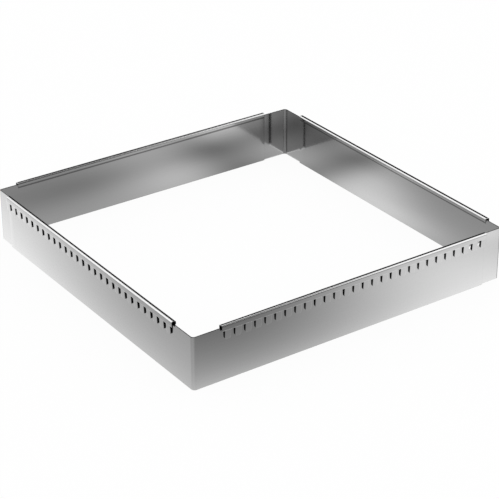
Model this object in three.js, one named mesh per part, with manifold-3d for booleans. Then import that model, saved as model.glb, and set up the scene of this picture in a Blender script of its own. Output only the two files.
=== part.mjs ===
// Adjustable pastry frame: four bent steel corners that slide in one another on toothed rails.
// Millimetres, +Z up. The origin is on the table, under the middle of the closed frame.
// Two opposite corners are plain sheets with locking studs. The other two run just inside them,
// and carry folded rails that hook over the plain sheets' top edges.

import * as THREE from 'three';
import { mergeGeometries, mergeVertices } from 'three/addons/utils/BufferGeometryUtils.js';
import Module from 'manifold-3d';

// Driving dimensions
const PITCH = 10; // one notch, so the frame opens in steps of a centimetre
const NOTCHES = 28; // teeth on each rail, each with a gap after it
const TOOTH_WIDTH = 6;
const TOOTH_LENGTH = 6.8;
const CORNER_TO_RAIL = 20.2; // outer corner to the rail's first tooth
const END_RUN = 2.9; // rail's free end past its last tooth
const RAIL_TO_CORNER = 27.4; // rail's free end to the next outer corner, when closed
const SHEET = 0.6; // sheet of the corners
const STRIP = 0.5; // strip of the rails
const PLAIN_BEND = 3.2; // outside of the plain corners' bend
const RAILED_BEND = 1.4; // outside of the railed corners' bend
const PLAIN_HEIGHT = 49.2;
const TOP_STEP = 1.2; // plain sheet's top edge to the railed sheet's
const PLAIN_INSET = 1; // plain sheet's end to the rail's corner end, when closed

// Rail section
const ARCH_RADIUS = 0.8; // inside of the fold at the rail's top
const BEAD_HEIGHT = 4.6; // crown to the step in the outer leg
const STEP_DROP = 0.5;
const STEP_IN = 0.2;
const ROOT_LAND = 0.1; // plain strip between the step and the gaps
const TOOTH_LEAN = 0.4; // how far the teeth lean in, from the step to the tips
const LIP_DEPTH = 3.3; // crown to the inner leg's edge
const ROOT_ROUND = 0.4;
const TIP_ROUND = 0.9;

// Locking studs
const STUDS_PER_ARM = 2;
const STUD_RADIUS = 1.9;
const STUD_HEIGHT = 0.4;
const STUD_RIM = 0.1; // straight edge under the dome
const STUD_RISE = 3.8; // tooth tips to the studs' centres
const SHANK_RADIUS = 1;
const FLARE = 0.3; // how far the closed end spreads, and how deep

// Clearances
const SHEET_GAP = 0.8; // plain sheet to railed sheet
const STUD_PASS = 0.4; // stud's top to the teeth that pass over it
const WELD_GAP = 0.05; // rail to the sheet that it is welded to
const STUD_GAP = 0.05; // stud to its hole and to the sheet under its dome
const CUT_OVER = 1; // how far a cutting shape runs past the metal

// Facets
const BEND_STEPS = 8;
const ARCH_STEPS = 4;
const ROUND_STEPS = 2;
const DOME_STEPS = 4;
const STUD_SIDES = 16;

// Lengths and heights that follow
const GAP_WIDTH = PITCH - TOOTH_WIDTH;
const RAIL_LENGTH = NOTCHES * PITCH - GAP_WIDTH + END_RUN;
const SPAN = CORNER_TO_RAIL + RAIL_LENGTH + RAIL_TO_CORNER;
const PLAIN_ARM = SPAN - CORNER_TO_RAIL - PLAIN_INSET;
const RAILED_ARM = CORNER_TO_RAIL + RAIL_LENGTH;
const RAILED_HEIGHT = PLAIN_HEIGHT + TOP_STEP;
const ARCH_CHORD = Math.sqrt(ARCH_RADIUS ** 2 - (ARCH_RADIUS - WELD_GAP) ** 2);
const ARCH_Z = RAILED_HEIGHT + ARCH_RADIUS - ARCH_CHORD + WELD_GAP; // underside of the rail's top
const CROWN_Z = ARCH_Z + STRIP;
const STEP_Z = CROWN_Z - BEAD_HEIGHT;
const ROOT_Z = STEP_Z - STEP_DROP - ROOT_LAND;
const TIP_Z = ROOT_Z - TOOTH_LENGTH;
const LIP_Z = CROWN_Z - LIP_DEPTH;
const STUD_Z = TIP_Z + STUD_RISE;

// Depths through a wall, counted outwards from the plain sheet's outer face
const RAILED_OUT = -SHEET - SHEET_GAP;
const RAILED_IN = RAILED_OUT - SHEET;
const LIP_OUT = RAILED_IN - WELD_GAP;
const LIP_IN = LIP_OUT - STRIP;
const LEAN_AT_STUD = TOOTH_LEAN * STUD_RISE / (TOOTH_LENGTH + ROOT_LAND);
const TIP_IN = STUD_GAP + STUD_HEIGHT + STUD_PASS - LEAN_AT_STUD;
const TIP_OUT = TIP_IN + STRIP;
const TOOTH_IN = TIP_IN + TOOTH_LEAN;
const TOOTH_OUT = TOOTH_IN + STRIP;
const BEAD_IN = TOOTH_IN + STEP_IN;
const BEAD_OUT = BEAD_IN + STRIP;

const wasm = await Module();
wasm.setup();

// Closed solid for cutting, from a geometry's positions
function toSolid(geometry) {
  const bare = geometry.clone();
  bare.deleteAttribute('normal');
  bare.deleteAttribute('uv');
  const merged = mergeVertices(bare, 1e-5);
  const vertProperties = new Float32Array(merged.attributes.position.array);
  const triVerts = new Uint32Array(merged.index.array);
  return new wasm.Manifold(new wasm.Mesh({ numProp: 3, vertProperties, triVerts }));
}

function toGeometry(solid) {
  const mesh = solid.getMesh();
  const geometry = new THREE.BufferGeometry();
  geometry.setAttribute('position', new THREE.BufferAttribute(mesh.vertProperties, 3));
  geometry.setIndex(new THREE.BufferAttribute(mesh.triVerts, 1));
  geometry.computeVertexNormals();
  return geometry;
}

function cut(geometry, cutters) {
  return toGeometry(toSolid(geometry).subtract(toSolid(mergeGeometries(cutters))));
}

function steel(color, roughness) {
  return new THREE.MeshStandardMaterial({ color, roughness, metalness: 1 });
}

const sheetSteel = steel(0xc8c9cb, 0.28);
const railSteel = steel(0xcfd0d2, 0.24);
const studSteel = steel(0xd6d7d9, 0.2);

function piece(name, geometry, material) {
  const mesh = new THREE.Mesh(geometry, material);
  mesh.name = name;
  return mesh;
}

// Turn a piece so that its own X, Y and Z lie along three given directions
function turnTo(object, x, y, z) {
  object.quaternion.setFromRotationMatrix(new THREE.Matrix4().makeBasis(x, y, z));
  return object;
}

// Bent sheet standing on the table: two arms along +X and +Y from an outer corner at the origin.
// depth is how far its outer face lies inside the plain sheets' outer faces.
function cornerSheet(depth, bend, arm, height) {
  const inner = depth + SHEET;
  const centre = depth + bend;
  const shape = new THREE.Shape();
  shape.moveTo(arm, depth);
  shape.lineTo(arm, inner);
  shape.lineTo(centre, inner);
  shape.absarc(centre, centre, centre - inner, -Math.PI / 2, -Math.PI, true);
  shape.lineTo(inner, arm);
  shape.lineTo(depth, arm);
  shape.lineTo(depth, centre);
  shape.absarc(centre, centre, centre - depth, Math.PI, Math.PI * 1.5, false);
  shape.closePath();
  const upright = { depth: height, bevelEnabled: false, curveSegments: BEND_STEPS };
  return new THREE.ExtrudeGeometry(shape, upright);
}

// Rail section with X outwards through the wall and Y up: lip, rounded top, stepped and leaning leg
function railSection() {
  const outside = ARCH_RADIUS + STRIP;
  const arcZ = ARCH_Z - ARCH_RADIUS;
  const shape = new THREE.Shape();
  shape.moveTo(LIP_IN, LIP_Z);
  shape.lineTo(LIP_OUT, LIP_Z);
  shape.lineTo(LIP_OUT, arcZ);
  shape.absarc(LIP_OUT + ARCH_RADIUS, arcZ, ARCH_RADIUS, Math.PI, Math.PI / 2, true);
  shape.absarc(BEAD_IN - ARCH_RADIUS, arcZ, ARCH_RADIUS, Math.PI / 2, 0, true);
  shape.lineTo(BEAD_IN, STEP_Z);
  shape.lineTo(TOOTH_IN, STEP_Z - STEP_DROP);
  shape.lineTo(TIP_IN, TIP_Z);
  shape.lineTo(TIP_OUT, TIP_Z);
  shape.lineTo(TOOTH_OUT, STEP_Z - STEP_DROP);
  shape.lineTo(BEAD_OUT, STEP_Z);
  shape.absarc(BEAD_OUT - outside, arcZ, outside, 0, Math.PI / 2, false);
  shape.absarc(LIP_IN + outside, arcZ, outside, Math.PI / 2, Math.PI, false);
  shape.closePath();
  return shape;
}

// Outline of a gap between two teeth, from start to end along the rail: round at root and tips
function gapOutline(start, end) {
  const shape = new THREE.Shape();
  shape.moveTo(start - TIP_ROUND, TIP_Z - CUT_OVER);
  shape.lineTo(end + TIP_ROUND, TIP_Z - CUT_OVER);
  shape.lineTo(end + TIP_ROUND, TIP_Z);
  shape.absarc(end + TIP_ROUND, TIP_Z + TIP_ROUND, TIP_ROUND, -Math.PI / 2, -Math.PI, true);
  shape.absarc(end - ROOT_ROUND, ROOT_Z - ROOT_ROUND, ROOT_ROUND, 0, Math.PI / 2, false);
  shape.absarc(start + ROOT_ROUND, ROOT_Z - ROOT_ROUND, ROOT_ROUND, Math.PI / 2, Math.PI, false);
  shape.absarc(start - TIP_ROUND, TIP_Z + TIP_ROUND, TIP_ROUND, 0, -Math.PI / 2, true);
  shape.closePath();
  return shape;
}

// Rail along its own +Z, with X outwards and Y up. A rail on one arm starts at the corner,
// and one on the other arm ends there, because the two arms mirror each other.
function railGeometry(startsAtCorner) {
  const section = { depth: RAIL_LENGTH, bevelEnabled: false, curveSegments: ARCH_STEPS };
  const strip = new THREE.ExtrudeGeometry(railSection(), section);
  const cutDepth = BEAD_OUT + CUT_OVER;
  const through = { depth: cutDepth, bevelEnabled: false, curveSegments: ROUND_STEPS };
  const cutters = [];
  for (let notch = 0; notch < NOTCHES; notch += 1) {
    const last = notch === NOTCHES - 1;
    const near = notch * PITCH + TOOTH_WIDTH;
    const far = last ? RAIL_LENGTH + CUT_OVER + ROOT_ROUND : (notch + 1) * PITCH;
    const start = startsAtCorner ? near : RAIL_LENGTH - far;
    const cutter = new THREE.ExtrudeGeometry(gapOutline(start, start + far - near), through);
    cutter.rotateY(-Math.PI / 2);
    cutter.translate(cutDepth, 0, 0);
    cutters.push(cutter);
  }
  return cut(strip, cutters);
}

// Stud turned about its own Y, which points out of the wall: flared end, shank, domed head
function studGeometry() {
  const domeHeight = STUD_HEIGHT - STUD_RIM;
  const ball = (STUD_RADIUS ** 2 + domeHeight ** 2) / (2 * domeHeight);
  const reach = Math.asin(STUD_RADIUS / ball);
  const rimTop = STUD_GAP + STUD_RIM;
  const points = [
    new THREE.Vector2(0, -SHEET),
    new THREE.Vector2(SHANK_RADIUS + FLARE, -SHEET),
    new THREE.Vector2(SHANK_RADIUS, FLARE - SHEET),
    new THREE.Vector2(SHANK_RADIUS, STUD_GAP),
    new THREE.Vector2(STUD_RADIUS, STUD_GAP),
  ];
  for (let step = 0; step < DOME_STEPS; step += 1) {
    const angle = reach * (1 - step / DOME_STEPS);
    const fall = ball * (1 - Math.cos(angle));
    points.push(new THREE.Vector2(ball * Math.sin(angle), rimTop + domeHeight - fall));
  }
  points.push(new THREE.Vector2(0, rimTop + domeHeight));
  return new THREE.LatheGeometry(points, STUD_SIDES);
}

// Hole for a stud, wider at the inside of the sheet for the flare
function studHole() {
  const narrow = SHANK_RADIUS + STUD_GAP;
  const wide = narrow + FLARE;
  return new THREE.LatheGeometry([
    new THREE.Vector2(0, -SHEET - CUT_OVER),
    new THREE.Vector2(wide, -SHEET - CUT_OVER),
    new THREE.Vector2(wide, -SHEET),
    new THREE.Vector2(narrow, FLARE - SHEET),
    new THREE.Vector2(narrow, CUT_OVER),
    new THREE.Vector2(0, CUT_OVER),
  ], STUD_SIDES);
}

const AXIS_X = new THREE.Vector3(1, 0, 0);
const AXIS_Y = new THREE.Vector3(0, 1, 0);
const AXIS_Z = new THREE.Vector3(0, 0, 1);
const BACK_X = AXIS_X.clone().negate();
const BACK_Y = AXIS_Y.clone().negate();

// The two arms of a corner: the way along, and the way out of the wall
const ARMS = [
  { along: AXIS_X, out: BACK_Y },
  { along: AXIS_Y, out: BACK_X },
];

// Where the studs of one arm sit: in the gaps of the next corner's rail, the outermost gap first
function studPlaces(arm) {
  const places = [];
  for (let stud = 0; stud < STUDS_PER_ARM; stud += 1) {
    const fromNext = CORNER_TO_RAIL + stud * PITCH + TOOTH_WIDTH + GAP_WIDTH / 2;
    places.push(arm.along.clone().multiplyScalar(SPAN - fromNext).setZ(STUD_Z));
  }
  return places;
}

// Put an upright lathe shape at a place on an arm, pointing out of the wall
function pointOut(object, arm, place) {
  object.position.copy(place);
  return turnTo(object, arm.along, arm.out, arm.along.clone().cross(arm.out));
}

// Plain corner with its studs, named for where it stands and for the corners that its arms reach
function plainCorner(name, ends) {
  const group = new THREE.Group();
  const holes = [];
  ARMS.forEach((arm, side) => {
    studPlaces(arm).forEach((place, number) => {
      const studName = `${name}_stud_${ends[side]}_${number + 1}`;
      group.add(pointOut(piece(studName, studGeometry(), studSteel), arm, place));
      const hole = pointOut(new THREE.Object3D(), arm, place);
      hole.updateMatrix();
      holes.push(studHole().applyMatrix4(hole.matrix));
    });
  });
  const sheet = cut(cornerSheet(0, PLAIN_BEND, PLAIN_ARM, PLAIN_HEIGHT), holes);
  group.add(piece(`${name}_plain_corner`, sheet, sheetSteel));
  return group;
}

// Railed corner: the inner bent sheet and a rail along each arm
function railedCorner(name, ends) {
  const group = new THREE.Group();
  const sheet = cornerSheet(-RAILED_OUT, RAILED_BEND, RAILED_ARM, RAILED_HEIGHT);
  group.add(piece(`${name}_railed_corner`, sheet, sheetSteel));
  ARMS.forEach((arm, side) => {
    const way = arm.out.clone().cross(AXIS_Z);
    const startsAtCorner = way.dot(arm.along) > 0;
    const rail = piece(`${name}_rail_to_${ends[side]}`, railGeometry(startsAtCorner), railSteel);
    const start = startsAtCorner ? CORNER_TO_RAIL : RAILED_ARM;
    rail.position.copy(arm.along).multiplyScalar(start);
    group.add(turnTo(rail, arm.out, AXIS_Z, way));
  });
  return group;
}

// Stand a corner at its place, a quarter turn on from the one before
function stand(group, quarter, x, y) {
  group.rotation.z = quarter * Math.PI / 2;
  group.position.set(x * SPAN / 2, y * SPAN / 2, 0);
  return group;
}

const pastryFrame = new THREE.Group();
pastryFrame.name = 'adjustable_pastry_frame';
pastryFrame.add(stand(plainCorner('front', ['right', 'left']), 0, -1, -1));
pastryFrame.add(stand(railedCorner('right', ['back', 'front']), 1, 1, -1));
pastryFrame.add(stand(plainCorner('back', ['left', 'right']), 2, 1, 1));
pastryFrame.add(stand(railedCorner('left', ['front', 'back']), 3, -1, 1));

export default pastryFrame;
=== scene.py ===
# %% [markdown]
# # An adjustable pastry frame in satin steel
#
# The real object is four bent strips of stainless sheet that slide in one another. Two of them are
# plain corners with small locking studs. The other two carry folded rails with a comb of teeth.
# The solids give the sizes and the moving bodies. Here each piece is made again as a fine smooth
# surface, because polished steel shows every facet of a coarse bend as a stripe.

# %% Load the frame
import math

import bmesh
import bpy
import numpy as np
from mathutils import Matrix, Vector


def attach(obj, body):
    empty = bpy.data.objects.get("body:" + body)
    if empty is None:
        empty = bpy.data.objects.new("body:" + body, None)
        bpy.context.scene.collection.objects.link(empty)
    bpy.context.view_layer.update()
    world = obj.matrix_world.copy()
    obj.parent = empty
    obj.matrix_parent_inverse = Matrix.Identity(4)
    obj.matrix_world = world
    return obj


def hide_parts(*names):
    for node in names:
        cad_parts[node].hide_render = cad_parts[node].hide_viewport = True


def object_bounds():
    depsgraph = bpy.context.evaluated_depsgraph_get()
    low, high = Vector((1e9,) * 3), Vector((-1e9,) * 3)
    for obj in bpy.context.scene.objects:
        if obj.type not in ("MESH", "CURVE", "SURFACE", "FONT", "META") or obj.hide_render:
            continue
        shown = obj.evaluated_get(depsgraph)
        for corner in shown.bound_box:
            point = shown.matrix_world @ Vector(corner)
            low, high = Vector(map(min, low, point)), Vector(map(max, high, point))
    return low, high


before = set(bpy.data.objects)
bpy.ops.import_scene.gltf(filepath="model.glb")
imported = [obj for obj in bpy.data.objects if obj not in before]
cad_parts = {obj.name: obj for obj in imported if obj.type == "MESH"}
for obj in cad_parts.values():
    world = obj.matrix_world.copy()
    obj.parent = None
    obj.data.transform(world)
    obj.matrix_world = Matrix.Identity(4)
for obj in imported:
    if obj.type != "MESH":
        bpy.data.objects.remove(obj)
cad_low, cad_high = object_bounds()
scene = bpy.context.scene
scene.view_settings.view_transform = "Standard"

# %% [markdown]
# ## The camera
#
# A long lens looks down on the front corner. Its direction was found by fitting the wall edges of
# the picture, so the walls run to the same two vanishing points. The lens is given in pixels of a
# picture that is 499 wide, and the small roll is that of a camera held almost level.

# %% Camera
MM = 0.001
PICTURE_PX = 499
LENS_PX = 1816.1
SENSOR_MM = 36.0
LOOK_AZIMUTH = math.radians(-34.698)
LOOK_DOWN = math.radians(27.784)
LOOK_ROLL = math.radians(-0.294)
LOOK_DISTANCE = 1615.6 * MM
LOOK_AT = np.array([-14.527, -28.428, 25.0]) * MM
FARTHEST_SEEN = 50.0


def camera_axes(azimuth, down, roll):
    """Right, up and forward of a camera that is turned about Z, tipped down and then rolled."""
    flat = math.cos(down)
    forward = np.array([-math.sin(azimuth) * flat, math.cos(azimuth) * flat, -math.sin(down)])
    level = np.array([math.cos(azimuth), math.sin(azimuth), 0.0])
    upright = np.cross(level, forward)
    right = math.cos(roll) * level + math.sin(roll) * upright
    return right, np.cross(right, forward), forward


view_right, view_up, view_forward = camera_axes(LOOK_AZIMUTH, LOOK_DOWN, LOOK_ROLL)
camera_place = np.eye(4)
camera_place[:3, 0] = view_right
camera_place[:3, 1] = view_up
camera_place[:3, 2] = -view_forward
camera_place[:3, 3] = LOOK_AT - LOOK_DISTANCE * view_forward
camera = bpy.data.objects.new("camera", bpy.data.cameras.new("camera"))
scene.collection.objects.link(camera)
camera.matrix_world = camera_place.T.tolist()
camera.data.sensor_fit = "HORIZONTAL"
camera.data.sensor_width = SENSOR_MM
camera.data.lens = LENS_PX / PICTURE_PX * SENSOR_MM
camera.data.clip_end = FARTHEST_SEEN
scene.camera = camera
print("camera at", np.round(camera_place[:3, 3], 3), "lens", round(camera.data.lens, 1), "mm")

# %% [markdown]
# ## The steel
#
# All the pieces are stainless steel with a cold rolled skin: fine lines along the rolling direction
# and a faint cloudiness, both far too small to feel. One node group makes the lines and the clouds
# from a piece's own grain map, and each material sets how strong they are. Sheared edges are duller, and
# their near-black grey is partly painted shade for the dark lines along edges and teeth. A band under
# the rails' lips and the inside of the rails' fold are painted shade. The inner sides of the bends are
# darker, and the outer side of the railed corners' bends is painted dark, a painted dark reflection.


# %% Node helpers
def link(tree, source, target):
    """Join two sockets of a node tree."""
    tree.links.new(source, target)


def add_node(tree, kind, **settings):
    """New node of a kind, with its settings."""
    node = tree.nodes.new(kind)
    for key, value in settings.items():
        setattr(node, key, value)
    return node


def maths(tree, operation, first, second):
    """Math node of two values, each a socket or a number."""
    node = add_node(tree, "ShaderNodeMath", operation=operation)
    for socket, value in zip(node.inputs, (first, second)):
        if isinstance(value, (int, float)):
            socket.default_value = value
        else:
            link(tree, value, socket)
    return node.outputs[0]


def spread(tree, value, low, high):
    """Map a value from 0 to 1 onto a range."""
    node = add_node(tree, "ShaderNodeMapRange")
    link(tree, value, node.inputs["Value"])
    node.inputs["To Min"].default_value = low
    node.inputs["To Max"].default_value = high
    return node.outputs["Result"]


print("node helpers ready")


# %% Rolled skin group
# Noise cells per metre of metal
SKIN_SCALES = {"Lines Along": 30.0, "Lines Across": 3000.0, "Cloud Scale": 30.0}
LINE_DETAIL = 3.0
CLOUD_DETAIL = 2.0


def rolled_skin_group():
    """Group: long thin noise along the grain map gives Lines, broad noise gives Clouds."""
    group = bpy.data.node_groups.new("rolled_skin", "ShaderNodeTree")
    sides = group.interface
    for name, scale in SKIN_SCALES.items():
        sides.new_socket(name, in_out="INPUT", socket_type="NodeSocketFloat").default_value = scale
    for name in ("Lines", "Clouds"):
        sides.new_socket(name, in_out="OUTPUT", socket_type="NodeSocketFloat")
    given = add_node(group, "NodeGroupInput")
    result = add_node(group, "NodeGroupOutput")
    grain = add_node(group, "ShaderNodeUVMap", uv_map="grain")
    stretch = add_node(group, "ShaderNodeCombineXYZ")
    link(group, given.outputs["Lines Along"], stretch.inputs["X"])
    link(group, given.outputs["Lines Across"], stretch.inputs["Y"])
    scaled = add_node(group, "ShaderNodeVectorMath", operation="MULTIPLY")
    link(group, grain.outputs["UV"], scaled.inputs[0])
    link(group, stretch.outputs[0], scaled.inputs[1])
    lines = add_node(group, "ShaderNodeTexNoise", noise_dimensions="2D")
    lines.inputs["Scale"].default_value = 1.0
    lines.inputs["Detail"].default_value = LINE_DETAIL
    link(group, scaled.outputs[0], lines.inputs["Vector"])
    clouds = add_node(group, "ShaderNodeTexNoise", noise_dimensions="2D")
    clouds.inputs["Detail"].default_value = CLOUD_DETAIL
    link(group, grain.outputs["UV"], clouds.inputs["Vector"])
    link(group, given.outputs["Cloud Scale"], clouds.inputs["Scale"])
    link(group, lines.outputs["Fac"], result.inputs["Lines"])
    link(group, clouds.outputs["Fac"], result.inputs["Clouds"])
    return group


rolled_skin = rolled_skin_group()
print("group", rolled_skin.name)


# %% Steel materials
def steel(name, grey, grey_range, rough, rough_range, line_height):
    """Steel that is a little lighter and darker along its rolling lines, with cloudy gloss: its
    grey and roughness, the range of each, and the height of the lines."""
    made = bpy.data.materials.new(name)
    made.use_nodes = True
    tree = made.node_tree
    shader = tree.nodes["Principled BSDF"]
    shader.inputs["Metallic"].default_value = 1.0
    skin = add_node(tree, "ShaderNodeGroup", node_tree=rolled_skin)
    tone = spread(tree, skin.outputs["Lines"], grey - grey_range, grey + grey_range)
    colour = add_node(tree, "ShaderNodeCombineColor")
    for channel in ("Red", "Green", "Blue"):
        link(tree, tone, colour.inputs[channel])
    link(tree, colour.outputs["Color"], shader.inputs["Base Color"])
    gloss = spread(tree, skin.outputs["Clouds"], rough - rough_range, rough + rough_range)
    link(tree, gloss, shader.inputs["Roughness"])
    bump = add_node(tree, "ShaderNodeBump")
    bump.inputs["Strength"].default_value = 1.0
    bump.inputs["Distance"].default_value = line_height
    link(tree, skin.outputs["Lines"], bump.inputs["Height"])
    link(tree, bump.outputs["Normal"], shader.inputs["Normal"])
    return made


sheet_steel = steel("satin_sheet", 0.45, 0.02, 0.11, 0.02, 0.0002 * MM)
rail_steel = steel("rolled_strip", 0.45, 0.02, 0.08, 0.02, 0.0002 * MM)
stud_steel = steel("turned_stud", 0.70, 0.02, 0.10, 0.02, 0.0001 * MM)
# Sheared edges are duller; their near-black grey is partly painted shade for the dark lines along edges
# and teeth
cut_edge_and_shade_steel = steel("sheared_edge_and_painted_shade", 0.08, 0.02, 0.20, 0.05, 0.0006 * MM)
# Painted shade: a dark band on the railed sheets just under the rails' lips
under_lip_shade_steel = steel("under_lip_painted_shade", 0.20, 0.03, 0.20, 0.04, 0.0004 * MM)
bend_steel = steel("bend_line", 0.24, 0.02, 0.20, 0.04, 0.0004 * MM)
# Painted shade: the inner side of the rails' strip, inside the fold and behind the teeth, is near black
fold_inside_shade_steel = steel("fold_inside_painted_shade", 0.05, 0.01, 0.45, 0.05, 0.0006 * MM)
print("materials", [material.name for material in bpy.data.materials])

# %% [markdown]
# ## From a grid of points to a mesh
#
# Every piece here is a grid of points, so one helper can turn all of them into meshes. A grid that
# closes on itself is wrapped, and doubled points at poles and seams are merged. The distances along
# and across the metal go into a UV map, in metres, so that the rolling grain can follow a bend.

# %% Grid helpers
MERGED_POINTS = 0.002 * MM
SHRUNK_EDGE = 0.001 * MM


def grid_quads(rows, columns, wrap_columns=False):
    """Corner numbers of each square between neighbouring rows and columns of a grid."""
    row = np.arange(rows - 1)[:, None]
    column = np.arange(columns if wrap_columns else columns - 1)[None, :]
    after = (column + 1) % columns
    near = row * columns
    far = near + columns
    corners = [near + column, near + after, far + after, far + column]
    return np.stack([np.broadcast_to(c, (rows - 1, column.size)) for c in corners], -1).reshape(-1, 4)


def grid_object(name, points, quads, along_across, materials, finish=None):
    """Mesh object from points, squares, each point's distances along and across the metal, its
    materials, and the number of each square's material, if they aren't all the first."""
    mesh = bpy.data.meshes.new(name)
    mesh.from_pydata(points.reshape(-1, 3).tolist(), [], quads.tolist())
    for material in materials:
        mesh.materials.append(material)
    if finish is not None:
        mesh.polygons.foreach_set("material_index", finish.astype(np.int32))
    corner_points = np.empty(len(mesh.loops), dtype=np.int32)
    mesh.loops.foreach_get("vertex_index", corner_points)
    grain_map = mesh.uv_layers.new(name="grain")
    grain_map.data.foreach_set("uv", along_across.reshape(-1, 2)[corner_points].ravel())
    close_mesh(mesh)
    made = bpy.data.objects.new(name, mesh)
    scene.collection.objects.link(made)
    return made


def close_mesh(mesh):
    """Merge doubled points, drop squares that have shrunk to nothing, and turn the faces outwards."""
    cells = bmesh.new()
    cells.from_mesh(mesh)
    bmesh.ops.remove_doubles(cells, verts=cells.verts, dist=MERGED_POINTS)
    bmesh.ops.dissolve_degenerate(cells, edges=cells.edges, dist=SHRUNK_EDGE)
    bmesh.ops.recalc_face_normals(cells, faces=cells.faces)
    cells.to_mesh(mesh)
    cells.free()


print("grid helpers ready")

# %% [markdown]
# ## Where the corners stand
#
# Each corner is first made with its outer corner point at the origin and its arms along X and Y.
# It is then turned by quarter turns and moved to its place, all in its points, so that every object
# stays at the origin.

# %% Corner places
SPAN = 326.5 * MM
CORNERS = {"front": (0, -1, -1), "right": (1, 1, -1), "back": (2, 1, 1), "left": (3, -1, 1)}


def stand(points, corner):
    """Turn points about Z by the corner's quarter turns, then move them out to that corner."""
    quarters, side_x, side_y = CORNERS[corner]
    cosine = (1, 0, -1, 0)[quarters]
    sine = (0, 1, 0, -1)[quarters]
    x = cosine * points[..., 0] - sine * points[..., 1] + side_x * SPAN / 2
    y = sine * points[..., 0] + cosine * points[..., 1] + side_y * SPAN / 2
    return np.stack([x, y, points[..., 2]], -1)


print("corners", list(CORNERS))

# %% [markdown]
# ## The bent corner sheets
#
# A corner is a strip of 0.6 mm sheet, sheared to length and bent once. It could be a thin box with
# a Bevel, but a profile carried along the bent line gives the true bend, soft sheared edges and
# evenly placed points. The profile is a narrow rectangle that is grown by the edge's small radius.

# %% Sheet profile
SHEET = 0.6 * MM
EDGE = 0.1 * MM
SUPPORT = 0.25 * MM
SIDE_POINTS = 12
EDGE_STEPS = 4


def quarter_round(steps):
    """Angles of a quarter turn, end points included."""
    return np.linspace(0.0, math.pi / 2, steps + 1)


def sheet_profile(height, band):
    """Closed loop round a sheet's section: the core rectangle's points, the ways they grow, and the
    heights up one side, with the edges of a band among them."""
    low, high = EDGE, height - EDGE
    rise = np.concatenate([np.linspace(low, high, SIDE_POINTS), [low + SUPPORT, high - SUPPORT], band])
    rise = np.sort(rise)
    turn = quarter_round(EDGE_STEPS)
    outer = np.stack([np.full(rise.size, EDGE), rise], -1)
    top_out = np.tile([EDGE, high], (turn.size, 1))
    top_in = np.tile([SHEET - EDGE, high], (turn.size, 1))
    inner = np.stack([np.full(rise.size, SHEET - EDGE), rise[::-1]], -1)
    low_in = np.tile([SHEET - EDGE, low], (turn.size, 1))
    low_out = np.tile([EDGE, low], (turn.size, 1))
    core = np.concatenate([outer, top_out, top_in, inner, low_in, low_out])
    sideways = np.tile([[-1.0, 0.0]], (rise.size, 1))
    ways = [sideways] + [
        np.stack([-np.cos(turn + start), np.sin(turn + start)], -1)
        for start in (0.0, math.pi / 2)
    ] + [-sideways] + [
        np.stack([-np.cos(turn + start), np.sin(turn + start)], -1)
        for start in (math.pi, 1.5 * math.pi)
    ]
    return core, np.concatenate(ways), rise


print("sheet of", round(SHEET / MM, 2), "mm, edges rounded by", round(EDGE / MM, 2), "mm")

# %% [markdown]
# The line that carries the profile runs in along one arm, round the bend and out along the other
# arm. At the two ends of the strip the profile's growth falls to nothing, so the ends are rounded
# like the edges.

# %% Sheet spine
CORNER_TO_RAIL = 20.2 * MM
END_STEPS = 5
ARM_POINTS = 48
BEND_STEPS = 24


def sheet_spine(arm, depth, bend_radius):
    """Stations along the strip: place, outward direction, growth and distance from the first end."""
    turn = quarter_round(END_STEPS)
    end = EDGE * (1.0 - np.cos(turn))
    growth = EDGE * np.sin(turn)
    hub = depth + bend_radius
    even = np.linspace(hub, arm - EDGE, ARM_POINTS)[1:-1]
    straight = np.sort(np.concatenate([[hub + SUPPORT, CORNER_TO_RAIL], even]))
    down_arm = np.concatenate([arm - end, straight[::-1]])
    grown = np.concatenate([growth, np.full(straight.size, EDGE)])
    bend = np.linspace(-math.pi / 2, -math.pi, BEND_STEPS + 1)
    count = down_arm.size
    spine_x = np.concatenate([down_arm, np.full(bend.size, hub), np.full(count, hub)])
    spine_y = np.concatenate([np.full(count, hub), np.full(bend.size, hub), down_arm[::-1]])
    out_x = np.concatenate([np.zeros(count), np.cos(bend), np.full(count, -1.0)])
    out_y = np.concatenate([np.full(count, -1.0), np.sin(bend), np.zeros(count)])
    growths = np.concatenate([grown, np.full(bend.size, EDGE), grown[::-1]])
    steps = np.hypot(np.diff(spine_x + bend_radius * out_x), np.diff(spine_y + bend_radius * out_y))
    return spine_x, spine_y, out_x, out_y, growths, np.concatenate([[0.0], np.cumsum(steps)])


print("each step of a bend turns by", round(90.0 / BEND_STEPS, 2), "degrees")

# %% [markdown]
# A sheet's two sides have the rolled skin, and its edges are sheared and duller, with a near-black grey
# that is partly painted shade. The inner side of the bend is darker. These could be painted on by a
# mask, but the sheet is a grid, so each square of the grid can simply have the number of its finish.

# %% Sheet finish
FACE, CUT_AND_SHADE, UNDER_LIP_SHADE, BEND = range(4)
SHEET_FINISHES = (sheet_steel, cut_edge_and_shade_steel, under_lip_shade_steel, bend_steel)
TOP_POINTS = 2 * (EDGE_STEPS + 1)
LEAST_TURN = 0.001


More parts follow.
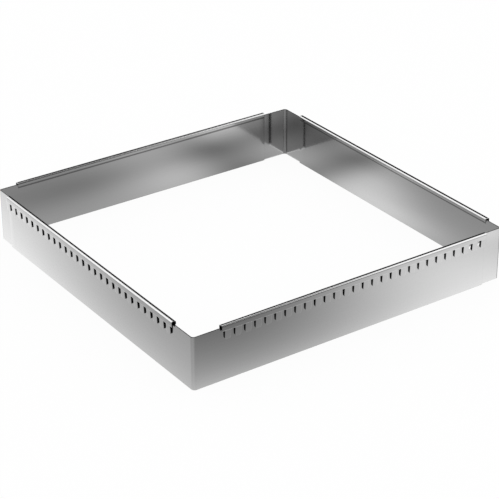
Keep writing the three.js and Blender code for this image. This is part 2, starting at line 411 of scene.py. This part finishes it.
def sheet_finish(rows, columns, rise, out_x, out_y, from_corner, band):
    """Finish of each square: all cut, then the two sides between the edges, the bend and the band."""
    side = rise.size
    outer_side = slice(0, side - 2)
    inner_side = slice(side + TOP_POINTS + 1, 2 * side + TOP_POINTS - 1)
    finish = np.full((rows - 1, columns), CUT_AND_SHADE)
    finish[END_STEPS:-END_STEPS, outer_side] = FACE
    finish[END_STEPS:-END_STEPS, inner_side] = FACE
    turning = np.hypot(np.diff(out_x), np.diff(out_y)) > LEAST_TURN
    finish[turning, inner_side] = BEND
    if band:
        # The outer side of a railed sheet's tight bend gets the near-black edge finish, a painted dark
        # reflection
        finish[turning, outer_side] = CUT_AND_SHADE
        by_rail = np.minimum(from_corner[:-1], from_corner[1:]) > CORNER_TO_RAIL - SUPPORT / 2
        by_rail[:END_STEPS] = False
        by_rail[-END_STEPS:] = False
        middle = (rise[:-1] + rise[1:])[::-1] / 2
        in_band = (middle > band[0]) & (middle < band[1])
        down_inside = finish[:, side + TOP_POINTS:2 * side + TOP_POINTS - 1]
        # The band under the lips, on the inner side along the rail, is painted shade
        down_inside[np.ix_(by_rail, in_band)] = UNDER_LIP_SHADE
    return finish


print("sheet finishes", [material.name for material in SHEET_FINISHES])

# %% Sheet surface
SHEET_SHARP = 35.0


def smooth_faces(made, sharpest):
    """Smooth shading, with edges that turn by more than the given angle kept sharp."""
    made.data.shade_smooth()
    made.data.set_sharp_from_angle(angle=math.radians(sharpest))


def sheet_object(name, corner, depth, bend_radius, arm, height, band):
    """Bent sheet. Each point is its spine point plus the outward direction times the bend radius
    less the point's depth in the sheet, at the profile's height, with the profile grown by the
    station's growth. The two end loops are closed by squares from the outer to the inner side.
    The top, the foot and the ends have the edge finish, duller and partly painted shade, and the bend's
    inner side is darker. A sheet with a band of heights has painted shade there, under the rails' lips
    on the inner side along the rail, and its tight bend is painted dark on the outer side, a painted
    reflection."""
    core, ways, rise = sheet_profile(height, band)
    side = rise.size
    spine_x, spine_y, out_x, out_y, growths, along = sheet_spine(arm, depth, bend_radius)
    section = core[None] + growths[:, None, None] * ways[None]
    reach = bend_radius - section[..., 0]
    x = spine_x[:, None] + out_x[:, None] * reach
    y = spine_y[:, None] + out_y[:, None] * reach
    points = stand(np.stack([x, y, section[..., 1]], -1), corner)
    rows, columns = points.shape[:2]
    outer = np.arange(side - 1)
    inner = side + TOP_POINTS + (side - 1 - outer)
    first = np.stack([outer, outer + 1, inner - 1, inner], -1)
    quads = np.concatenate([grid_quads(rows, columns, True), first, first + (rows - 1) * columns])
    finish = sheet_finish(rows, columns, rise, out_x, out_y, np.maximum(spine_x, spine_y), band)
    finish = np.concatenate([finish.ravel(), np.full(2 * len(first), CUT_AND_SHADE)])
    across = np.stack([np.broadcast_to(along[:, None], section.shape[:2]), section[..., 1]], -1)
    made = grid_object(name, points, quads, across, SHEET_FINISHES, finish)
    smooth_faces(made, SHEET_SHARP)
    return made


print("edges that turn by more than", SHEET_SHARP, "degrees stay sharp")

# %% [markdown]
# The plain corners lie outside, and the railed corners lie inside them by the sheet's thickness and
# a sliding gap. The railed sheets are a little taller, so that the rails can hook over both. On their
# inner side, just under the rails' lips, a dark band is painted shade.

# %% Sheets
PLAIN_ARM = 305.3 * MM
PLAIN_HEIGHT = 49.2 * MM
PLAIN_BEND = 3.2 * MM
RAILED_ARM = 299.1 * MM
RAILED_HEIGHT = 50.4 * MM
RAILED_BEND = 1.4 * MM
SHEET_GAP = 0.8 * MM
RAILED_DEPTH = SHEET + SHEET_GAP
# Heights of the band of painted shade under the rails' lips
UNDER_LIP_SHADE_BAND = (46.4 * MM, 48.2 * MM)

sheets = []
for corner, kind, depth, bend_radius, arm, height, band in (
    ("front", "plain", 0.0, PLAIN_BEND, PLAIN_ARM, PLAIN_HEIGHT, ()),
    ("back", "plain", 0.0, PLAIN_BEND, PLAIN_ARM, PLAIN_HEIGHT, ()),
    ("left", "railed", RAILED_DEPTH, RAILED_BEND, RAILED_ARM, RAILED_HEIGHT, UNDER_LIP_SHADE_BAND),
    ("right", "railed", RAILED_DEPTH, RAILED_BEND, RAILED_ARM, RAILED_HEIGHT, UNDER_LIP_SHADE_BAND),
):
    sheet = sheet_object(f"{corner}_bent_sheet", corner, depth, bend_radius, arm, height, band)
    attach(sheet, corner)
    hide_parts(f"{corner}_{kind}_corner")
    sheets.append(sheet)
print("sheets", [(sheet.name, len(sheet.data.polygons)) for sheet in sheets])

# %% [markdown]
# ## The toothed rails
#
# A rail is one strip that is blanked with a comb of teeth and then folded over: a short lip inside,
# a rounded top, and an outer leg with a small step above the teeth. The teeth lean in a little. It
# is made as the strip's middle surface, with two kinds of grid: the folded strip down to the roots,
# and a grid for each tooth. Solidify gives the thickness, and Bevel softens the blanked edges.

# %% Rail section
STRIP = 0.5 * MM
HALF_STRIP = STRIP / 2
WELD_GAP = 0.05 * MM
STUD_GAP = 0.05 * MM
STUD_HEIGHT = 0.4 * MM
STUD_PASS = 0.4 * MM
STUD_RISE = 3.8 * MM
STEP_IN = 0.2 * MM
STEP_DROP = 0.5 * MM
ARCH_INSIDE = 0.8 * MM
LIP_DEPTH = 3.3 * MM
BEAD_HEIGHT = 4.6 * MM
ROOT_LAND = 0.1 * MM
ARC_STEPS = 8
LEG_POINTS = 6
STEP_POINTS = 9
ARCH = ARCH_INSIDE + HALF_STRIP
CROWN_Z = float(cad_high[2])
ARCH_Z = CROWN_Z - HALF_STRIP - ARCH
LIP_Z = CROWN_Z - LIP_DEPTH
STEP_Z = CROWN_Z - BEAD_HEIGHT
ROOT_Z = STEP_Z - STEP_DROP - ROOT_LAND
# The first length sets the lean and the studs. The teeth reach further, as the picture shows.
TOOTH_LENGTH = 6.8 * MM
TOOTH_REACH = 8.3 * MM
TOOTH_LEAN = 0.4 * MM
LEAN_SLOPE = TOOTH_LEAN / (TOOTH_LENGTH + ROOT_LAND)
LIP_OUT = -RAILED_DEPTH - SHEET - WELD_GAP - HALF_STRIP
TIP_OUT = STUD_GAP + STUD_HEIGHT + STUD_PASS + HALF_STRIP - LEAN_SLOPE * STUD_RISE
BEAD_OUT = TIP_OUT + TOOTH_LEAN + STEP_IN


def rail_section():
    """Middle line of the fold, as (outwards, up): up the lip, over two quarter arcs with a flat
    between them, down the bead, and in along a half wave of the step's depth to the roots."""
    arc = quarter_round(ARC_STEPS)
    up_lip = np.linspace(LIP_Z, ARCH_Z, LEG_POINTS)[:-1]
    lip = np.stack([np.full(up_lip.size, LIP_OUT), up_lip], -1)
    inner_arc = np.stack([LIP_OUT + ARCH - ARCH * np.cos(arc), ARCH_Z + ARCH * np.sin(arc)], -1)
    outer_arc = np.stack([BEAD_OUT - ARCH + ARCH * np.sin(arc), ARCH_Z + ARCH * np.cos(arc)], -1)
    down_bead = np.linspace(ARCH_Z, STEP_Z, LEG_POINTS)[1:-1]
    bead = np.stack([np.full(down_bead.size, BEAD_OUT), down_bead], -1)
    fall = np.linspace(0.0, 1.0, STEP_POINTS)
    wave = STEP_IN * (0.5 - 0.5 * np.cos(math.pi * fall))
    step = np.stack([BEAD_OUT - wave, STEP_Z - STEP_DROP * fall], -1)
    root = np.array([[TIP_OUT + LEAN_SLOPE * TOOTH_LENGTH, ROOT_Z]])
    return np.concatenate([lip, inner_arc, outer_arc, bead, step, root])


section_line = rail_section()
section_length = np.concatenate([[0.0], np.cumsum(np.hypot(*np.diff(section_line, axis=0).T))])
print("rail strip is", round(float(section_length[-1] + TOOTH_REACH) / MM, 2), "mm wide before folding")

# %% [markdown]
# A tooth is wider at its root, where it runs into the strip by a fillet, and its tip is rounded.
# So its two sides are curves over the depth, and the grid of a tooth is drawn between them. The
# first tooth is cut off square by the end of the rail. The last gap is open to the other end.

# %% Comb of teeth
PITCH = 10.0 * MM
TEETH = 28
TOOTH_WIDTH = 6.0 * MM
ROOT_ROUND = 0.4 * MM
TIP_ROUND = 2.3 * MM
END_RUN = 2.9 * MM
RAIL_LENGTH = (TEETH - 1) * PITCH + TOOTH_WIDTH + END_RUN
ROUND_STEPS = 6
DEPTH_POINTS = 6
TOOTH_COLUMNS = 9
GAP_COLUMNS = 5
SAME_COLUMN = 0.001 * MM


def tooth_sides():
    """Depths below the root, and how far a tooth's side stands out there: the root's fillet less
    the tip's rounding, each a quarter circle."""
    turn = quarter_round(ROUND_STEPS)
    fillet_depth = ROOT_ROUND * (1.0 - np.cos(turn))
    fillet = ROOT_ROUND * (1.0 - np.sin(turn))
    tip_depth = TOOTH_REACH - TIP_ROUND * (1.0 - np.sin(turn))
    tip = TIP_ROUND * (1.0 - np.cos(turn))
    middle = np.linspace(ROOT_ROUND, TOOTH_REACH - TIP_ROUND, DEPTH_POINTS)[1:-1]
    depth = np.concatenate([fillet_depth, middle, tip_depth])
    stand_out = np.concatenate([fillet, np.zeros(middle.size), -tip])
    return depth, stand_out


def comb_places():
    """Places along the rail: a grid of teeth, depths and columns, and the strip's sorted columns."""
    depth, stand_out = tooth_sides()
    start = np.arange(TEETH)[:, None] * PITCH
    left = start - stand_out[None]
    left[0] = 0.0
    right = start + TOOTH_WIDTH + stand_out[None]
    share = np.linspace(0.0, 1.0, TOOTH_COLUMNS)
    teeth = left[..., None] + share * (right - left)[..., None]
    gap_start = right[:, :1]
    gap_end = np.append(left[1:, 0], RAIL_LENGTH)[:, None]
    gaps = gap_start + np.linspace(0.0, 1.0, GAP_COLUMNS)[None, 1:] * (gap_end - gap_start)
    strip = np.concatenate([teeth[:, 0], gaps], axis=1).ravel()
    keep = np.concatenate([[True], np.diff(strip) > SAME_COLUMN])
    return depth, teeth, strip[keep]


print("rail of", TEETH, "teeth,", round(RAIL_LENGTH / MM, 1), "mm long")


# %% Rail surface
def on_arm(along, outward, up, arm):
    """Points of a corner's arm: 0 runs along X with outwards to -Y, 1 runs along Y, outwards to -X."""
    away = CORNER_TO_RAIL + along
    order = (away, -outward, up) if arm == 0 else (-outward, away, up)
    return np.stack(np.broadcast_arrays(*order), -1)


def rail_object(name, corner, arm):
    """Toothed rail. The folded strip's points are every column along it times the section's line.
    A tooth's points lie in the leaning plane of the outer leg, between its two side curves."""
    depth, teeth, strip = comb_places()
    fold = on_arm(strip[:, None], section_line[None, :, 0], section_line[None, :, 1], arm)
    lean = TIP_OUT + LEAN_SLOPE * (TOOTH_LENGTH - depth)
    comb = on_arm(teeth, lean[None, :, None], ROOT_Z - depth[None, :, None], arm)
    fold_map = np.stack(np.broadcast_arrays(strip[:, None], section_length[None]), -1)
    comb_map = np.stack(np.broadcast_arrays(teeth, section_length[-1] + depth[None, :, None]), -1)
    fold_quads = grid_quads(*fold.shape[:2])
    each = grid_quads(depth.size, teeth.shape[2])
    starts = fold_map[..., 0].size + np.arange(TEETH) * depth.size * teeth.shape[2]
    comb_quads = (each[None] + starts[:, None, None]).reshape(-1, 4)
    points = stand(np.concatenate([fold.reshape(-1, 3), comb.reshape(-1, 3)]), corner)
    across = np.concatenate([fold_map.reshape(-1, 2), comb_map.reshape(-1, 2)])
    quads = np.concatenate([fold_quads, comb_quads])
    return grid_object(name, points, quads, across, (rail_steel, fold_inside_shade_steel, cut_edge_and_shade_steel))


print("rails begin", round(CORNER_TO_RAIL / MM, 1), "mm from their corners")

# %% Rail thickness
BEVEL_SEGMENTS = 2
RAIL_SHARP = 50.0


def apply_modifiers(made):
    """Keep the shape that the modifiers give, and take the modifiers off."""
    shown = made.evaluated_get(bpy.context.evaluated_depsgraph_get())
    finished = bpy.data.meshes.new_from_object(shown)
    made.modifiers.clear()
    made.data = finished


def thicken(made, thickness, edge):
    """Wall thickness to both sides of a middle surface, and a small round along its cut edges."""
    wall = made.modifiers.new("wall", "SOLIDIFY")
    wall.thickness = thickness
    wall.offset = 0.0
    wall.use_even_offset = True
    # The second side of the strip, inside the fold and behind the teeth, gets material 1, painted shade
    wall.material_offset = 1
    # Rims and bevels get material 2, the edge finish that is partly painted shade
    wall.material_offset_rim = 2
    soft = made.modifiers.new("cut edges", "BEVEL")
    soft.width = edge
    soft.segments = BEVEL_SEGMENTS
    soft.limit_method = "ANGLE"
    soft.angle_limit = math.radians(RAIL_SHARP)
    soft.material = 2
    apply_modifiers(made)
    smooth_faces(made, RAIL_SHARP)


print("strip of", round(STRIP / MM, 2), "mm")

# %% Rails
rails = []
for corner, arm, towards in (
    ("left", 0, "front"), ("left", 1, "back"), ("right", 0, "back"), ("right", 1, "front"),
):
    rail = rail_object(f"{corner}_toothed_rail_{towards}", corner, arm)
    thicken(rail, STRIP, EDGE)
    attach(rail, corner)
    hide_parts(f"{corner}_rail_to_{towards}")
    rails.append(rail)
print("rails", [(rail.name, len(rail.data.polygons)) for rail in rails])

# %% [markdown]
# ## The locking studs
#
# Two studs near each end of a plain corner stand in the gaps between the teeth, so that the frame
# keeps its size. A stud is a turned piece: a low dome with a rim, a shank through the sheet and a
# flared end inside. It is a surface of revolution, a profile turned about the wall's outward line.

# %% Stud surface
STUD_RADIUS = 1.9 * MM
STUD_RIM = 0.1 * MM
SHANK = 1.0 * MM
FLARE = 0.3 * MM
STUD_Z = ROOT_Z - TOOTH_LENGTH + STUD_RISE
STUD_SIDES = 48
DOME_POINTS = 13
STUD_SHARP = 40.0


def stud_profile():
    """Radius and distance outwards: flat end, flare, shank, rim and a dome that is part of a ball."""
    dome = STUD_HEIGHT - STUD_RIM
    ball = (STUD_RADIUS ** 2 + dome ** 2) / (2 * dome)
    angle = np.linspace(math.asin(STUD_RADIUS / ball), 0.0, DOME_POINTS)
    top = STUD_GAP + STUD_HEIGHT
    cap = np.stack([ball * np.sin(angle), top - ball * (1.0 - np.cos(angle))], -1)
    foot = np.array([
        [0.0, -SHEET], [SHANK + FLARE, -SHEET], [SHANK, FLARE - SHEET], [SHANK, 0.0],
        [STUD_RADIUS - STUD_RIM / 2, 0.0], [STUD_RADIUS, STUD_RIM / 2],
    ])
    return np.concatenate([foot, cap])


def stud_object(name, corner, arm, along):
    """Stud. Its points are the profile's radius turned round the stud's axis, at the profile's
    distance out of the wall."""
    profile = stud_profile()
    turn = np.arange(STUD_SIDES) * 2 * math.pi / STUD_SIDES
    sideways = profile[:, :1] * np.cos(turn)[None]
    upwards = STUD_Z + profile[:, :1] * np.sin(turn)[None]
    outward = np.broadcast_to(profile[:, 1:], sideways.shape)
    points = stand(on_arm(along - CORNER_TO_RAIL + sideways, outward, upwards, arm), corner)
    across = np.stack([sideways, outward], -1)
    made = grid_object(name, points, grid_quads(*sideways.shape, True), across, (stud_steel,))
    smooth_faces(made, STUD_SHARP)
    return made


print("studs of", round(2 * STUD_RADIUS / MM, 2), "mm")

# %% Studs
studs = []
for corner, ends in (("front", ("right", "left")), ("back", ("left", "right"))):
    for arm, end in enumerate(ends):
        for number in (1, 2):
            from_next = CORNER_TO_RAIL + (number - 1) * PITCH + (TOOTH_WIDTH + PITCH) / 2
            stud = stud_object(f"{corner}_locking_stud_{end}_{number}", corner, arm, SPAN - from_next)
            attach(stud, corner)
            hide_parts(f"{corner}_stud_{end}_{number}")
            studs.append(stud)
print("studs", len(studs), "at height", round(STUD_Z / MM, 2), "mm")

# %% [markdown]
# ## The white table
#
# The frame stands on a plain white table in white surroundings. The table keeps a soft shadow of the
# frame, but a camera that is set for steel sees the table as almost pure white. So its colour is
# mixed with a plain white glow for the rays that see it directly, in a mirror or through glass.

# %% Table
TABLE_REACH = 8.0
TABLE_DROP = 0.03 * MM
TABLE_GREY = 0.92
TABLE_WHITENESS = 0.95


def card_object(name, material, centre, half_width, half_height):
    """Flat card: its centre plus and minus half a width and half a height."""
    across, along = np.meshgrid([-1.0, 1.0], [-1.0, 1.0])
    sides = [np.array(side) for side in (centre, half_width, half_height)]
    points = sides[0] + across[..., None] * sides[1] + along[..., None] * sides[2]
    made = grid_object(name, points, grid_quads(2, 2), np.stack([across, along], -1), (material,))
    return made


def white_table_material():
    """White paint, lifted by a white glow for camera, mirror and glass rays."""
    made = bpy.data.materials.new("white_table")
    made.use_nodes = True
    tree = made.node_tree
    tree.nodes.remove(tree.nodes["Principled BSDF"])
    paint = add_node(tree, "ShaderNodeBsdfDiffuse")
    paint.inputs["Color"].default_value = (TABLE_GREY, TABLE_GREY, TABLE_GREY, 1.0)
    glow = add_node(tree, "ShaderNodeEmission")
    path = add_node(tree, "ShaderNodeLightPath")
    mirrored = maths(tree, "MAXIMUM", path.outputs["Is Glossy Ray"], path.outputs["Is Transmission Ray"])
    seen = maths(tree, "MAXIMUM", path.outputs["Is Camera Ray"], mirrored)
    mix = add_node(tree, "ShaderNodeMixShader")
    link(tree, maths(tree, "MULTIPLY", seen, TABLE_WHITENESS), mix.inputs["Fac"])
    link(tree, paint.outputs[0], mix.inputs[1])
    link(tree, glow.outputs[0], mix.inputs[2])
    link(tree, mix.outputs[0], tree.nodes["Material Output"].inputs["Surface"])
    return made


card_object(
    "table", white_table_material(),
    (0.0, 0.0, -TABLE_DROP), (TABLE_REACH, 0.0, 0.0), (0.0, TABLE_REACH, 0.0),
)
print("table of", 2 * TABLE_REACH, "m")

# %% World
world = bpy.data.worlds.new("white_room")
scene.world = world
world.use_nodes = True
world.node_tree.nodes["Background"].inputs["Color"].default_value = (1.0, 1.0, 1.0, 1.0)
world.node_tree.nodes["Background"].inputs["Strength"].default_value = 1.0
print("world", world.name)

# %% [markdown]
# ## What the steel mirrors
#
# Rolled steel has hardly a colour of its own: what shows in it is the table and the room. In an all
# white room it would fade into the background. So cards stand round the frame, as in a studio: only
# mirror rays see them, so they draw tones in the steel and leave the white table as it is. One card
# lies on the table, and the walls show it. It is lit in soft pools, each a bell curve about its
# centre, because such pools make the broad soft changes of tone that rolled sheet shows.


# %% Soft pool group
def soft_pool_group():
    """Group: e to the power of minus the squared distance from a centre, counted in reaches."""
    group = bpy.data.node_groups.new("soft_pool", "ShaderNodeTree")
    sides = group.interface
    for name in ("Place", "Centre", "Reach"):
        sides.new_socket(name, in_out="INPUT", socket_type="NodeSocketVector")
    sides.new_socket("Pool", in_out="OUTPUT", socket_type="NodeSocketFloat")
    given = add_node(group, "NodeGroupInput")
    result = add_node(group, "NodeGroupOutput")
    offset = add_node(group, "ShaderNodeVectorMath", operation="SUBTRACT")
    link(group, given.outputs["Place"], offset.inputs[0])
    link(group, given.outputs["Centre"], offset.inputs[1])
    reaches = add_node(group, "ShaderNodeVectorMath", operation="DIVIDE")
    link(group, offset.outputs[0], reaches.inputs[0])
    link(group, given.outputs["Reach"], reaches.inputs[1])
    square = add_node(group, "ShaderNodeVectorMath", operation="DOT_PRODUCT")
    link(group, reaches.outputs[0], square.inputs[0])
    link(group, reaches.outputs[0], square.inputs[1])
    link(group, maths(group, "EXPONENT", maths(group, "MULTIPLY", square.outputs["Value"], -1.0), 0.0),
         result.inputs["Pool"])
    return group


soft_pool = soft_pool_group()
print("group", soft_pool.name)

# %% Table card values
SQUARE = SPAN / 2 - RAILED_DEPTH - SHEET
DARKEST_TONE = 0.28
OUTSIDE_GLOW = 0.516
OUTSIDE_FADE = 28.3 * MM
INSIDE_TONE = 0.219
INSIDE_GLOW = 0.452
INSIDE_FADE = 200.0 * MM
BACK_TONE = 0.44
# Each pool is its strength, and its centre and reach along X and Y in millimetres
OUTSIDE_POOLS = [
    (2.06, (0.0, 321.0), (302.0, 372.0)),
    (1.046, (150.5, -208.0), (135.0, 104.0)),
    (0.388, (-225.0, -204.5), (95.0, 148.0)),
    (1.78, (800.0, -1000.0), (450.0, 550.0)),
    (-0.5, (-150.0, 215.0), (15.0, 60.0)),
    (0.5, (220.0, -240.0), (30.0, 24.0)),
]
INSIDE_POOLS = [
    (-0.62, (101.1, 156.1), (43.1, 70.7)),
    (0.305, (126.8, 49.7), (20.9, 53.3)),
    (0.781, (70.9, 115.3), (82.3, 60.7)),
    (-0.523, (128.8, 105.1), (200.0, 30.5)),
    (0.627, (158.1, 12.5), (24.1, 82.7)),
]
print("pools", len(OUTSIDE_POOLS), "outside and", len(INSIDE_POOLS), "inside")


# %% Table card helpers
def add_pools(tree, place, base, pools):
    """A brightness plus each pool's strength times its bell curve."""
    total = base
    for strength, centre, reach in pools:
        pool = add_node(tree, "ShaderNodeGroup", node_tree=soft_pool)
        link(tree, place, pool.inputs["Place"])
        pool.inputs["Centre"].default_value = (centre[0] * MM, centre[1] * MM, 0.0)
        pool.inputs["Reach"].default_value = (reach[0] * MM, reach[1] * MM, 1.0)
        total = maths(tree, "ADD", maths(tree, "MULTIPLY", pool.outputs["Pool"], strength), total)
    return total


def fading(tree, distance, strength, reach):
    """A strength that falls by e over each reach of distance."""
    power = maths(tree, "DIVIDE", distance, -reach)
    return maths(tree, "MULTIPLY", maths(tree, "EXPONENT", power, 0.0), strength)


def either(tree, chosen, off, on):
    """The second value where chosen is 1, and the first where it is 0."""
    node = add_node(tree, "ShaderNodeMix", data_type="FLOAT")
    for name, value in (("Factor", chosen), ("A", off), ("B", on)):
        link(tree, value, node.inputs[name])
    return node.outputs["Result"]


def glow_material(name):
    """Material that only glows, and its node tree and emission node."""
    made = bpy.data.materials.new(name)
    made.use_nodes = True
    tree = made.node_tree
    tree.nodes.remove(tree.nodes["Principled BSDF"])
    glow = add_node(tree, "ShaderNodeEmission")
    link(tree, glow.outputs[0], tree.nodes["Material Output"].inputs["Surface"])
    return made, tree, glow


print("table card helpers ready")


# %% Table card material
def table_card_material():
    """Brightness of the table card: in front of the frame and inside it a glow that fades with the
    distance from the walls, plus pools, and behind the frame an even tone with such a glow. It is
    nowhere darker than the darkest tone."""
    made, tree, glow = glow_material("table_card")
    place = add_node(tree, "ShaderNodeTexCoord").outputs["Object"]
    parts = add_node(tree, "ShaderNodeSeparateXYZ")
    link(tree, place, parts.inputs[0])
    x, y = parts.outputs["X"], parts.outputs["Y"]
    ahead = maths(tree, "SUBTRACT", maths(tree, "MULTIPLY", maths(tree, "MINIMUM", x, y), -1.0), SQUARE)
    behind = maths(tree, "SUBTRACT", maths(tree, "MAXIMUM", x, y), SQUARE)
    front = fading(tree, ahead, OUTSIDE_GLOW, OUTSIDE_FADE)
    front = add_pools(tree, place, front, OUTSIDE_POOLS)
    depth = maths(tree, "MULTIPLY", behind, -1.0)
    inside = maths(tree, "ADD", fading(tree, depth, INSIDE_GLOW, INSIDE_FADE), INSIDE_TONE)
    inside = add_pools(tree, place, inside, INSIDE_POOLS)
    back = maths(tree, "ADD", fading(tree, behind, OUTSIDE_GLOW, OUTSIDE_FADE), BACK_TONE)
    tone = either(tree, maths(tree, "GREATER_THAN", behind, 0.0), inside, back)
    tone = either(tree, maths(tree, "GREATER_THAN", ahead, 0.0), tone, front)
    link(tree, maths(tree, "MAXIMUM", tone, DARKEST_TONE), glow.inputs["Strength"])
    return made


print("table card is nowhere darker than", DARKEST_TONE)

# %% [markdown]
# The rails' rounded tops show what stands higher than the table: a round wall and a ceiling. Both
# are dark or dim with a few bright parts, like the windows of a room. A lamp for each window would
# light the table as well, so the windows are only drawn on the two cards.

# %% Round wall
WALL_REACH = 2.4
WALL_SIDES = 64
WALL_TOP_ANGLE = 36.0
WALL_HEIGHT = WALL_REACH * math.tan(math.radians(WALL_TOP_ANGLE))
WALL_TONE = 0.03
WALL_GLOW = 1.8
# Each bright part of the wall is the angle of its middle, the half angles where it is dark and
# where it is bright, the height of its foot line at its middle, and the line's fall to the left
BRIGHT_SIDES = [
    (-10.0, 49.0, 43.0, -1.0, 0.0),
    (102.0, 30.0, 24.0, -1.0, 0.0),
    (98.0, 46.0, 40.0, -0.27, 1.34),
]
FOOT_FADE = 0.03


def soft_step(tree, value, low, high):
    """Rise from 0 to 1, smooth at both ends, between two values."""
    node = add_node(tree, "ShaderNodeMapRange", interpolation_type="SMOOTHSTEP")
    link(tree, value, node.inputs["Value"])
    node.inputs["From Min"].default_value = low
    node.inputs["From Max"].default_value = high
    return node.outputs["Result"]


def dot_with(tree, place, direction):
    """How far a place lies along a direction, times the direction's length."""
    node = add_node(tree, "ShaderNodeVectorMath", operation="DOT_PRODUCT")
    link(tree, place, node.inputs[0])
    node.inputs[1].default_value = direction
    return node.outputs["Value"]


def room_wall_material():
    """Dark wall with bright parts, each by the cosine of the angle from its middle, and from a
    foot line upwards, which is level or falls towards the left."""
    made, tree, glow = glow_material("room_wall")
    place = add_node(tree, "ShaderNodeTexCoord").outputs["Object"]
    lit = 0.0
    for side, dark_half, bright_half, foot, fall in BRIGHT_SIDES:
        turn = math.radians(side)
        towards = dot_with(tree, place, (math.cos(turn), math.sin(turn), 0.0))
        dark = WALL_REACH * math.cos(math.radians(dark_half))
        bright = WALL_REACH * math.cos(math.radians(bright_half))
        share = soft_step(tree, towards, dark, bright)
        above = dot_with(tree, place, (-fall * math.sin(turn), fall * math.cos(turn), 1.0))
        share = maths(tree, "MULTIPLY", share, soft_step(tree, above, foot, foot + FOOT_FADE))
        lit = maths(tree, "MAXIMUM", share, lit)
    link(tree, spread(tree, lit, WALL_TONE, WALL_GLOW), glow.inputs["Strength"])
    return made


def round_wall(name, material, radius, height):
    """Round wall: a circle of points on the table and the same circle at the height."""
    turn = np.arange(WALL_SIDES) * 2 * math.pi / WALL_SIDES
    up = np.array([0.0, height])[:, None]
    points = np.stack(np.broadcast_arrays(radius * np.cos(turn), radius * np.sin(turn), up), -1)
    across = np.stack(np.broadcast_arrays(radius * turn, up), -1)
    made = grid_object(name, points, grid_quads(2, WALL_SIDES, True), across, (material,))
    return made


print("wall is", round(WALL_HEIGHT, 2), "m high, bright parts", len(BRIGHT_SIDES))

# %% Ceiling
CEILING_HEIGHT = 2.0
CEILING_REACH = 3.5
CEILING_TONE = 0.35
CEILING_GLOW = 2.2
# Where the bright parts begin and where they are full, in metres from the middle
CEILING_EDGE = (1.2, 1.5)
CEILING_LEFT = (1.0, 0.75)


def ceiling_material():
    """Ceiling that is bright at the back left and to the right, and dim above the camera."""
    made, tree, glow = glow_material("ceiling_card")
    parts = add_node(tree, "ShaderNodeSeparateXYZ")
    link(tree, add_node(tree, "ShaderNodeTexCoord").outputs["Object"], parts.inputs[0])
    x, y = parts.outputs["X"], parts.outputs["Y"]
    back = soft_step(tree, y, *CEILING_EDGE)
    back_left = maths(tree, "MULTIPLY", back, soft_step(tree, x, *CEILING_LEFT))
    share = maths(tree, "MAXIMUM", soft_step(tree, x, *CEILING_EDGE), back_left)
    link(tree, spread(tree, share, CEILING_TONE, CEILING_GLOW), glow.inputs["Strength"])
    return made


print("ceiling at", CEILING_HEIGHT, "m")

# %% Cards
CARD_REACH = 2.4
CARD_DROP = 0.015 * MM


def only_mirrored(made):
    """Hide a card from everything but mirror rays."""
    made.visible_camera = False
    made.visible_diffuse = False
    made.visible_transmission = False
    made.visible_volume_scatter = False
    made.visible_shadow = False


cards = [
    card_object(
        "table_card", table_card_material(),
        (0.0, 0.0, -CARD_DROP), (CARD_REACH, 0.0, 0.0), (0.0, CARD_REACH, 0.0),
    ),
    card_object(
        "ceiling_card", ceiling_material(),
        (0.0, 0.0, CEILING_HEIGHT), (CEILING_REACH, 0.0, 0.0), (0.0, CEILING_REACH, 0.0),
    ),
    round_wall("room_wall", room_wall_material(), WALL_REACH, WALL_HEIGHT),
]
for made in cards:
    only_mirrored(made)
print("cards", [made.name for made in cards])
